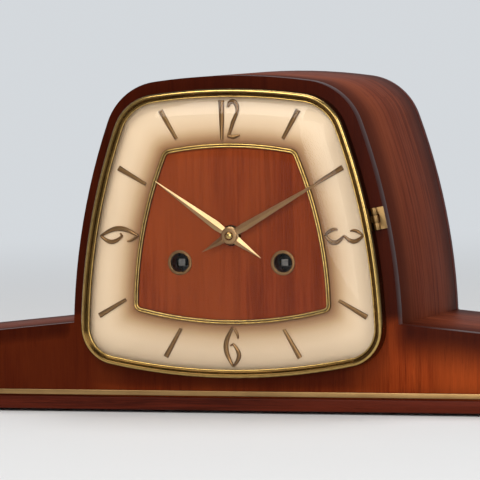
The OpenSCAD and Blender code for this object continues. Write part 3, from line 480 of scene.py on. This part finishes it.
paleLook = dict(
    veneerLook, light=(0.50, 0.33, 0.18), mid=(0.42, 0.26, 0.13), dark=(0.30, 0.17, 0.08),
    shade=(0.16, 0.09, 0.04), roughness=0.62)
stainLook = dict(
    veneerLook, light=(0.110, 0.017, 0.007), mid=(0.075, 0.011, 0.005), dark=(0.038, 0.006, 0.003),
    shade=(0.010, 0.002, 0.001), roughness=0.38, coat=0.03)
panelLook = dict(
    veneerLook, light=(0.330, 0.066, 0.014), mid=(0.235, 0.036, 0.008), dark=(0.150, 0.019, 0.004),
    shade=(0.090, 0.012, 0.003), roughness=0.45, gloss=0.02)
# a paler, greyer copy of the veneer for the hood and wing tops: painted sheen, the light glancing off the
# hood's sides
hoodLook = dict(
    veneerLook, light=(0.235, 0.058, 0.024), mid=(0.160, 0.034, 0.014), dark=(0.085, 0.015, 0.006),
    roughness=0.5, gloss=0.012)

finishes = {
    "front": veneer("frontVeneer", shadeBy=frontShade),
    "hood": veneer("hoodVeneer", hoodLook, depthShade(0.9)),
    "wingTop": veneer("wingVeneer", hoodLook, depthShade(0.85)),
    "panel": veneer("panelVeneer", panelLook),
    "stain": veneer("stainedWood", stainLook),
    "pale": veneer("paleWood", paleLook),
    "cream": cream("creamLacquer"),
    "bezelBrass": beadedBrass("crestHighlightBrass"),
    "turnedBrass": metal("turnedBrass", (0.50, 0.33, 0.12), 0.22, (0.30, 0.18, 0.06)),
    "stripBrass": metal("stripBrass", (0.36, 0.22, 0.09), 0.34, (0.20, 0.11, 0.045), (20, 900, 900)),
    "handBrass": metal("handBrass", (0.60, 0.40, 0.20), 0.30, (0.40, 0.24, 0.11), (700, 700, 700)),
    # a darker copy of the hand brass for the minute hand: painted shade
    "shadedMinuteBrass": metal("shadedMinuteBrass", (0.36, 0.21, 0.10), 0.32, (0.22, 0.12, 0.05), (700, 700, 700)),
    "bronze": metal("bronze", (0.235, 0.130, 0.055), 0.33, (0.115, 0.058, 0.024)),
    "hingeBrass": metal("hingeBrass", (0.26, 0.16, 0.065), 0.38, (0.17, 0.10, 0.04)),
    "plateBrass": metal("plateBrass", (0.60, 0.42, 0.18), 0.30, (0.46, 0.30, 0.12), (60, 60, 1600)),
    "wheelBrass": metal("wheelBrass", (0.66, 0.46, 0.20), 0.24, (0.50, 0.33, 0.13)),
    "steel": metal("brightSteel", (0.50, 0.50, 0.51), 0.28, (0.36, 0.36, 0.37)),
    "darkSteel": metal("darkSteel", (0.16, 0.15, 0.14), 0.34, (0.08, 0.075, 0.07)),
    "iron": castIron("blackIron"),
    "glass": clearGlass("domedGlass"),
    "felt": felt("padFelt"),
}
print("finishes made:", len(finishes))


def smoothByAngle(mesh, angle):
    for polygon in mesh.polygons:
        polygon.use_smooth = True
    mesh.set_sharp_from_angle(angle=math.radians(angle))


def settle(piece, body, finish, replaced=()):
    piece.data.materials.clear()
    piece.data.materials.append(finishes[finish])
    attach(piece, body)
    if replaced:
        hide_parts(*replaced)
    return piece


def meshPiece(name, points, faces, angle=40):
    mesh = bpy.data.meshes.new(name)
    mesh.from_pydata([tuple(p) for p in points], [], faces)
    build = bmesh.new()
    build.from_mesh(mesh)
    bmesh.ops.remove_doubles(build, verts=build.verts, dist=1e-7)
    bmesh.ops.recalc_face_normals(build, faces=build.faces)
    build.to_mesh(mesh)
    build.free()
    smoothByAngle(mesh, angle)
    piece = bpy.data.objects.new(name, mesh)
    bpy.context.scene.collection.objects.link(piece)
    return piece


# metres within which corners join, and degrees that count as flat, as an edge and as a smooth turn
softenRule = {"join": 2e-6, "flat": 0.6, "edge": 40, "smooth": 32}


def softened(name, node, width, segments=3):
    # the node's own shape with its sharp edges eased
    mesh = nodes[node].data.copy()
    mesh.name = name
    build = bmesh.new()
    build.from_mesh(mesh)
    bmesh.ops.remove_doubles(build, verts=build.verts, dist=softenRule["join"])
    flat, angle = math.radians(softenRule["flat"]), math.radians(softenRule["edge"])
    bmesh.ops.dissolve_limit(build, angle_limit=flat, verts=build.verts, edges=build.edges)
    sharp = [e for e in build.edges if len(e.link_faces) == 2 and e.calc_face_angle(0) > angle]
    if width:
        bmesh.ops.bevel(build, geom=sharp, offset=width * mm, segments=segments, profile=0.5,
                        affect="EDGES", clamp_overlap=True, harden_normals=False)
    bmesh.ops.recalc_face_normals(build, faces=build.faces)
    mesh.clear_geometry()
    build.to_mesh(mesh)
    build.free()
    smoothByAngle(mesh, softenRule["smooth"])
    piece = bpy.data.objects.new(name, mesh)
    bpy.context.scene.collection.objects.link(piece)
    return piece


def grainBy(piece, rule):
    # stores across, along and through the grain at each vertex, in metres
    mesh = piece.data
    layer = mesh.attributes.new("grain", "FLOAT_VECTOR", "POINT")
    for i, vertex in enumerate(mesh.vertices):
        layer.data[i].vector = rule(vertex.co)


def uprightGrain(co):
    return (co.x, co.z, co.y)


def lengthGrain(co):
    return (co.y, co.x, co.z)


def sweep(name, outlineAt, profile):
    # profile is a list of (inset, height, painted highlight) carried round an outline
    rings = [[place(x, height, z) for x, z in outlineAt(inset)] for inset, height, _ in profile]
    count = len(rings[0])
    points = [p for ring in rings for p in ring]
    faces = []
    for r in range(len(rings)):
        a, b = r * count, ((r + 1) % len(rings)) * count
        for i in range(count):
            j = (i + 1) % count
            faces.append((a + i, a + j, b + j, b + i))
    ring = meshPiece(name, points, faces, 50)
    layer = ring.data.attributes.new("paintedHighlight", "FLOAT", "POINT")
    for i, vertex in enumerate(ring.data.vertices):
        layer.data[i].value = profile[i // count][2]
    return ring


def lathe(name, centre, profile, steps=48, angle=40):
    # profile of (radius, height in front of the centre) turned about an axis along the depth
    points, faces = [], []
    for radius, height in profile:
        for i in range(steps):
            x, z = polar(radius * mm, 2 * math.pi * i / steps)
            points.append((centre.x + x, centre.y - height * mm, centre.z + z))
    for r in range(len(profile) - 1):
        for i in range(steps):
            j = (i + 1) % steps
            faces.append((r * steps + i, r * steps + j, (r + 1) * steps + j, (r + 1) * steps + i))
    return meshPiece(name, points, faces, angle)


def hoodGrain(co):
    # unrolled: along the arch, across the depth
    top = co.z - (baseZ + topCentre[1] * mm)
    side = abs(co.x) - sideCentre[0] * mm
    overTop = math.atan2(co.x, top) * caseShape["topRadius"] * mm
    downSide = math.atan2(co.z - (baseZ + sideCentre[1] * mm), side) * caseShape["sideRadius"] * mm
    sign = 1 if co.x >= 0 else -1
    along = overTop if co.z > baseZ + 0.160 else sign * (0.165 - downSide)
    return (co.y, along, 0)


# piece, width of its eased edges in millimetres, finish and run of the grain
caseFinish = {
    "front_board": ("frontBoard", 0.4, "front", uprightGrain),
    "hood": ("bentHood", 0.5, "hood", hoodGrain),
    "wing_top_left": ("wingTopLeft", 0.6, "wingTop", lengthGrain),
    "wing_top_right": ("wingTopRight", 0.6, "wingTop", lengthGrain),
    "wing_end_left": ("wingEndLeft", 0.5, "front", uprightGrain),
    "wing_end_right": ("wingEndRight", 0.5, "front", uprightGrain),
    "base_board": ("baseBoard", 0.8, "stain", lengthGrain),
    "back_board": ("backBoard", 0.6, "stain", uprightGrain),
    "glue_blocks": ("glueBlocks", 0.4, "pale", uprightGrain),
    "back_door": ("backDoor", 0.7, "stain", uprightGrain),
    "dial_veneer": ("dialPanel", 0, "panel", uprightGrain),
}
slotOf = {row["node"]: row["material_slot"] for row in frame["record"]["subparts"]}
for node, (name, width, finish, rule) in caseFinish.items():
    board = softened(name, node, width)
    grainBy(board, rule)
    settle(board, bodyOf[node], finish, [node])
settle(softened("brassStrip", "brass_strip", 0.35), "case", "stripBrass", ["brass_strip"])
settle(softened("feltPads", "felt_pads", 0.3), "case", "felt", ["felt_pads"])
print("case finished")


# inset, height and painted highlight: 1 on the bead crests that catch the light, 0 where the brass is left
# dark
bezelProfile = [
    (0.0, 0.3, 0), (0.0, 5.9, 0), (0.06, 6.7, 0), (0.28, 7.5, 0.15), (0.62, 8.1, 0.8), (1.05, 8.45, 1),
    (1.5, 8.6, 0.5), (1.95, 8.5, 0), (2.35, 8.2, 0), (2.7, 7.75, 0), (3.1, 7.2, 0), (3.5, 6.85, 0),
    (3.72, 6.8, 0.1), (3.86, 7.05, 0.8), (4.1, 7.2, 1), (4.38, 7.12, 1), (4.56, 6.85, 0.5), (4.6, 6.5, 0),
    (4.55, 6.3, 0), (3.6, 6.3, 0), (2.2, 7.0, 0), (1.0, 7.0, 0), (0.9, 6.0, 0), (0.9, 0.3, 0),
]
bezelRing = sweep("brassBezel", bezelOutline, bezelProfile)
settle(bezelRing, "glazed_door", "bezelBrass", ["bezel"])

glassShape = {
    "edge": 1.3, "rim": 4.9, "back": 5.1, "front": 6.2,
    "rise": 6.5, "inside": 6.0, "layers": 18, "swell": 8,
}


def domeRings(rim, rise, start):
    # flat across the middle and rounding over towards the rim
    flat = bezelOutline(rim)
    middle = (flat[0][1] + caseShape["height"] - bezelShape["margin"]) / 2
    rings = []
    for k in range(glassShape["layers"]):
        scale = math.cos(math.radians(88) * k / (glassShape["layers"] - 1))
        height = start + rise * (1 - scale ** glassShape["swell"])
        rings.append([place(x * scale, height, middle + (z - middle) * scale) for x, z in flat])
    return rings


def domedGlass():
    g = glassShape
    outer = [[place(x, height, z) for x, z in bezelOutline(g["edge"])] for height in (g["back"], g["front"])]
    outer += domeRings(g["rim"], g["rise"], g["front"])
    inner = domeRings(g["rim"], g["inside"], g["back"])
    rings = list(reversed(outer)) + inner
    count = len(rings[0])
    faces = []
    for r in range(len(rings) - 1):
        for i in range(count):
            j = (i + 1) % count
            faces.append((r * count + i, r * count + j, (r + 1) * count + j, (r + 1) * count + i))
    faces.append(tuple(range(count)))
    faces.append(tuple((len(rings) - 1) * count + i for i in range(count)))
    pane = meshPiece("domedGlass", [p for ring in rings for p in ring], faces, 40)
    layer = pane.data.attributes.new("gleam", "FLOAT", "POINT")
    for i in range(len(pane.data.vertices)):
        layer.data[i].value = 1.0 if i < (g["layers"] - 1) * count else 0.0
    return pane


settle(domedGlass(), "glazed_door", "glass", ["bezel_glass"])
hingeNames = {
    "bezel_hinge_leaf": "bezelHingeLeaf", "bezel_hinge_flap": "bezelHingeFlap",
    "bezel_hinge_pin": "bezelHingePin",
}
for node, name in hingeNames.items():
    settle(softened(name, node, 0.12, 2), bodyOf[node], "hingeBrass", [node])
print("glazed door finished")


settle(softened("dialPlate", "dial_plate", 0.3), "case", "cream", ["dial_plate"])
dialHeight = (frontY - dialY) / mm
# inset, height and painted highlight: 1 on the two bead crests that catch the light
frameProfile = [
    (0.0, 0.0, 0), (0.0, 0.7, 0), (0.18, 1.15, 0.4), (0.5, 1.42, 1), (0.85, 1.45, 1), (1.12, 1.2, 0.5),
    (1.3, 0.95, 0), (1.48, 1.2, 0.5), (1.75, 1.45, 1), (2.1, 1.42, 1), (2.42, 1.15, 0.4), (2.6, 0.7, 0),
    (2.6, 0.0, 0),
]
frameRing = sweep("dialFrame", panelOutline, [(d, dialHeight + h, p) for d, h, p in frameProfile])
settle(frameRing, "case", "bezelBrass", ["dial_frame"])


def strokeMesh(points, halves, height):
    # raised stroke with sloping shoulders and a low ridge; returns points and faces
    section = (
        (1, 0), (1, height * 0.6), (0.72, height * 0.85), (0, height),
        (-0.72, height * 0.85), (-1, height * 0.6), (-1, 0))
    verts, faces = [], []
    for i, (x, z) in enumerate(points):
        ax, az = points[max(i - 1, 0)]
        bx, bz = points[min(i + 1, len(points) - 1)]
        size = math.hypot(bx - ax, bz - az)
        nx, nz = -(bz - az) / size, (bx - ax) / size
        for side, level in section:
            verts.append((x + nx * side * halves[i], level, z + nz * side * halves[i]))
    ring = len(section)
    for i in range(len(points) - 1):
        for k in range(ring):
            a, b = i * ring + k, i * ring + (k + 1) % ring
            faces.append((a, b, b + ring, a + ring))
    faces.append(tuple(range(ring)))
    last = (len(points) - 1) * ring
    faces.append(tuple(last + k for k in range(ring)))
    return verts, faces


def swell(centre, rx, rz, start, end, thin, thick, steps=22):
    points, halves = [], []
    for i in range(steps + 1):
        angle = math.radians(start + (end - start) * i / steps)
        points.append((centre[0] + rx * math.cos(angle), centre[1] + rz * math.sin(angle)))
        halves.append(thin + (thick - thin) * math.sin(math.pi * i / steps))
    return points, halves


def bowed(start, end, middle, bow, part, thin, thick, steps=22):
    # pointed stroke from one tip towards another, bowed sideways, drawn for part of its way
    points, halves = [], []
    for i in range(steps + 1):
        t = part * i / steps
        points.append((middle + bow * math.sin(math.pi * t), start + (end - start) * t))
        halves.append(thin + (thick - thin) * math.sin(math.pi * i / steps))
    return points, halves


numeralShape = {
    "length": 20.5, "height": 1.2, "weight": 1.15,
    "markerLength": 17, "markerIn": 0.8, "markerOut": 1.35,
}
halfNumeral = numeralShape["length"] / 2
digits = {
    "1": [([(0, halfNumeral), (0.1, 0), (0, -halfNumeral)], [1.35, 1.05, 0.6])],
    "2": [
        swell((0, halfNumeral - 4.6), 2.6, 4.0, 165, -38, 0.55, 1.05),
        ([(2.05, halfNumeral - 7), (0, halfNumeral - 11.5), (-2, -halfNumeral + 3)], [0.75, 0.85, 0.6]),
        ([(-2.9, -halfNumeral + 2), (0.4, -halfNumeral + 1.5), (3.6, -halfNumeral + 2.4)], [0.5, 0.95, 0.4]),
        ([(-2.1, -halfNumeral + 3.6), (-2.4, -halfNumeral + 1.8)], [0.6, 0.6]),
    ],
    "6": [
        bowed(halfNumeral, -halfNumeral, 0.3, -3.9, 1, 0.45, 1.1),
        bowed(-halfNumeral, halfNumeral * 0.16, 0.3, 3.1, 1, 0.45, 0.95),
        bowed(halfNumeral, -halfNumeral * 0.1, 0.3, 2.7, 0.52, 0.35, 0.55),
        ([(0.6, halfNumeral * 0.15), (-1.1, halfNumeral * 0.06)], [0.5, 0.3]),
    ],
    "3": [
        bowed(halfNumeral, 0, 0, 3, 1, 0.45, 0.95),
        bowed(halfNumeral, 0, 0, -2.7, 0.66, 0.35, 0.75),
        bowed(0, -halfNumeral, 0, 3.7, 1, 0.45, 1),
        bowed(-halfNumeral, 0, 0, -3.3, 0.66, 0.35, 0.8),
    ],
}


def band(degrees):
    # middle of the band between the inner frame and the bezel's opening
    angle = math.radians(degrees)
    return (reach(panelOutline(0), angle) + reach(bezelOutline(bezelShape["width"]), angle)) / 2


def heavier(halves):
    return [half * numeralShape["weight"] for half in halves]


def raised(name, strokes, height):
    # strokes are (points, halves, turn in degrees, offset) drawn about the hand axis
    points, faces = [], []
    for path, halves, turn, offset in strokes:
        verts, quads = strokeMesh(path, halves, height)
        first = len(points)
        c, s = math.cos(math.radians(turn)), math.sin(math.radians(turn))
        for x, level, z in verts:
            across = x * c - z * s + offset[0]
            up = x * s + z * c + offset[1] + axisHeight
            points.append(place(across, dialHeight + level, up))
        faces += [tuple(first + k for k in face) for face in quads]
    return meshPiece(name, points, faces, 28)


numeralPlaces = [("1", 0, (-4.2, band(90))), ("2", 0, (1.9, band(90))), ("6", 0, (0, -band(-90))),
                 ("6", 270, (-band(180), 0)), ("3", -90, (band(0), 0))]
strokes = [
    (path, heavier(halves), turn, offset)
    for digit, turn, offset in numeralPlaces for path, halves in digits[digit]]
numerals = raised("numerals", strokes, numeralShape["height"])
settle(numerals, "case", "bronze", ["numerals"])
markers = []
for hour in (1, 2, 4, 5, 7, 8, 10, 11):
    degrees = 90 - 30 * hour
    half = numeralShape["markerLength"] / 2
    x, z = polar(band(degrees), math.radians(degrees))
    halves = [numeralShape["markerIn"], numeralShape["markerOut"]]
    markers.append(([(-half, 0), (half, 0)], halves, degrees, (x, z)))
hourMarkers = raised("hourMarkers", markers, numeralShape["height"])
settle(hourMarkers, "case", "bronze", ["hour_markers"])
grommets = softened("windingGrommets", "winding_grommets", 0.25)
settle(grommets, "case", "bronze", ["winding_grommets"])
print("dial finished")


# the minute hand takes the darker copy of the hand brass, painted shade
minuteShape = {
    "node": "minute_hand", "slot": "hand_brass", "finish": "shadedMinuteBrass",
    "length": 65, "tail": 17, "half": 2.1, "boss": 4.4, "degrees": 29.5,
}
hourShape = {
    "node": "hour_hand", "slot": "hand_brass", "finish": "handBrass",
    "length": 49, "tail": 20, "half": 2.4, "boss": 4.7, "degrees": 145,
}


def hand(name, shape):
    low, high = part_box(shape["node"])
    rear, front = high.y, low.y
    edge = rear - (rear - front) * 0.35
    stations = [
        (shape["length"], 0.18), (9, shape["half"]), (0, 1.4),
        (-4, shape["half"] * 0.95), (-shape["tail"], 0.12)]
    section = ((1, rear), (1, edge), (0, front), (-1, edge), (-1, rear))
    ring = len(section)
    points, faces = [], []
    c, s = math.cos(math.radians(shape["degrees"])), math.sin(math.radians(shape["degrees"]))
    for along, half in stations:
        for side, y in section:
            x, z = along * mm, side * half * mm
            points.append((x * c - z * s, y, axisZ + x * s + z * c))
    for i in range(len(stations) - 1):
        for k in range(ring):
            a, b = i * ring + k, i * ring + (k + 1) % ring
            faces.append((a, b, b + ring, a + ring))
    faces.append(tuple(range(ring)))
    faces.append(tuple((len(stations) - 1) * ring + k for k in range(ring)))
    blade = meshPiece(name, points, faces, 8)
    thick = (rear - front) / mm
    boss = lathe(name + "Boss", Vector((0, rear, axisZ)), [
        (0.01, 0), (shape["boss"], 0), (shape["boss"], thick * 0.6), (shape["boss"] - 0.25, thick * 0.9),
        (shape["boss"] - 0.7, thick), (0.01, thick)])
    settle(blade, bodyOf[shape["node"]], shape["finish"], [shape["node"]])
    settle(boss, bodyOf[shape["node"]], shape["finish"])


hand("minuteHand", minuteShape)
hand("hourHand", hourShape)
nutHeight = (nutHigh.y - nutLow.y) / mm
nut = lathe("handNut", Vector((0, nutHigh.y, axisZ)), [
    (0.01, 0), (2.3, 0), (2.3, nutHeight * 0.35), (2.05, nutHeight * 0.62),
    (1.4, nutHeight * 0.88), (0.6, nutHeight), (0.01, nutHeight)])
settle(nut, "minute_works", "turnedBrass", ["hand_nut"])
print("hands finished")


finishOfSlot = {
    "plate_brass": "wheelBrass", "steel": "steel", "dark_iron": "iron",
    "brass": "hingeBrass", "inner_wood": "pale",
}
plates = ("front_plate", "back_plate")
replacedNodes = set(caseFinish) | set(hingeNames) | {
    "brass_strip", "felt_pads", "bezel", "bezel_glass", "dial_plate", "dial_frame",
    "numerals", "hour_markers", "winding_grommets", "minute_hand", "hour_hand", "hand_nut",
}
for node, piece in nodes.items():
    if node in replacedNodes:
        continue
    finish = "plateBrass" if node in plates else finishOfSlot[slotOf[node]]
    if node.endswith("winding_arbor"):
        finish = "darkSteel"
    piece.data.materials.clear()
    piece.data.materials.append(finishes[finish])
print("movement finished")


stageLook = {
    "floor": (0.66, 0.67, 0.68), "backdrop": (0.66, 0.69, 0.72), "fade": (0.4, 1.8),
    "size": 16.0, "rise": 11.0, "behind": 12.0, "bend": 0.4,
}


def stageMaterial():
    # pale paper near the clock, fading to an evenly lit backdrop further off
    material, tree, shader = newMaterial("stagePaper")
    tone = noise(tree, objectSpot(tree), 3, 2)
    paler = tuple(c * 1.03 for c in stageLook["floor"])
    link(tree, blendColour(tree, tone, stageLook["floor"], paler), shader.inputs["Base Color"])
    shader.inputs["Roughness"].default_value = 0.7
    glow = add(tree, "ShaderNodeEmission")
    glow.inputs[0].default_value = (*stageLook["backdrop"], 1)
    rays = add(tree, "ShaderNodeLightPath").outputs
    mirrored = maths(tree, "ADD", rays["Is Glossy Ray"], rays["Is Transmission Ray"])
    seen = maths(tree, "ADD", rays["Is Camera Ray"], mirrored, clamp=True)
    far = add(tree, "ShaderNodeVectorMath", operation="LENGTH")
    link(tree, objectSpot(tree), far.inputs[0])
    factor = maths(tree, "MULTIPLY", seen, between(tree, far.outputs["Value"], *stageLook["fade"]))
    mix = add(tree, "ShaderNodeMixShader")
    link(tree, factor, mix.inputs[0])
    link(tree, shader.outputs[0], mix.inputs[1])
    link(tree, glow.outputs[0], mix.inputs[2])
    link(tree, mix.outputs[0], tree.nodes["Material Output"].inputs[0])
    return material


floor = bpy.data.meshes.new("stageFloor")
size, behind, rise = stageLook["size"], stageLook["behind"], stageLook["rise"]
bend = stageLook["bend"]
curve = [(-size, 0.0)]
for i in range(11):
    turn = math.pi / 2 * i / 10
    curve.append((behind + bend * math.sin(turn), bend - bend * math.cos(turn)))
curve.append((behind + bend, rise))
floorPoints = [(side * size, y, z) for y, z in curve for side in (-1, 1)]
floor.from_pydata(floorPoints, [], [(2 * i, 2 * i + 1, 2 * i + 3, 2 * i + 2) for i in range(len(curve) - 1)])
for polygon in floor.polygons:
    polygon.use_smooth = True
stage = bpy.data.objects.new("stageFloor", floor)
bpy.context.scene.collection.objects.link(stage)
floor.materials.append(stageMaterial())

middle = (0, 0, 0.08)
lamps = {
    "key": {"at": (-0.6, -1.9, 2.1), "to": middle, "size": 1.3, "power": 40, "colour": (1.0, 0.97, 0.93)},
    "fill": {"at": (0.5, -2.7, 0.7), "to": middle, "size": 1.6, "power": 31, "colour": (1.0, 0.98, 0.95)},
    "side": {"at": (2.2, -0.9, 1.1), "to": middle, "size": 1.2, "power": 22, "colour": (1.0, 0.98, 0.96)},
    "top": {"at": (0.1, 0.5, 1.9), "to": middle, "size": 1.0, "power": 14, "colour": (1.0, 1.0, 1.0)},
}
for name, lamp in lamps.items():
    data = bpy.data.lights.new(name + "Lamp", "AREA")
    data.shape = "SQUARE"
    data.size = lamp["size"]
    data.energy = lamp["power"]
    data.color = lamp["colour"]
    light = bpy.data.objects.new(name + "Lamp", data)
    light.location = lamp["at"]
    light.rotation_euler = (Vector(lamp["to"]) - Vector(lamp["at"])).to_track_quat("-Z", "Y").to_euler()
    bpy.context.scene.collection.objects.link(light)

worldLook = {"colour": (0.90, 0.90, 0.91, 1), "strength": 0.32}
world = bpy.data.worlds.new("studioWorld")
world.use_nodes = True
world.node_tree.nodes["Background"].inputs[0].default_value = worldLook["colour"]
world.node_tree.nodes["Background"].inputs[1].default_value = worldLook["strength"]
bpy.context.scene.world = world
bpy.context.scene.view_settings.view_transform = "Standard"

viewpoint = {
    "azimuth": 17.79, "elevation": 3.01, "roll": -0.858,
    "distance": 2.5889, "lens": 375, "aim": (3.67, 0, 88.87),
}


def aimCamera():
    v = viewpoint
    a, e, r = (math.radians(v[k]) for k in ("azimuth", "elevation", "roll"))
    back = Vector((math.sin(a) * math.cos(e), -math.cos(a) * math.cos(e), math.sin(e)))
    level = Vector((math.cos(a), math.sin(a), 0))
    upright = level.cross(-back)
    right = level * math.cos(r) + upright * math.sin(r)
    up = upright * math.cos(r) - level * math.sin(r)
    data = bpy.data.cameras.new("studioCamera")
    data.lens = v["lens"]
    data.sensor_width = 36
    data.clip_end = 50
    camera = bpy.data.objects.new("studioCamera", data)
    position = place(*v["aim"]) + back * v["distance"]
    rows = [(right[i], up[i], back[i], position[i]) for i in range(3)] + [(0, 0, 0, 1)]
    camera.matrix_world = Matrix(rows)
    bpy.context.scene.collection.objects.link(camera)
    bpy.context.scene.camera = camera


aimCamera()
print("stage ready")
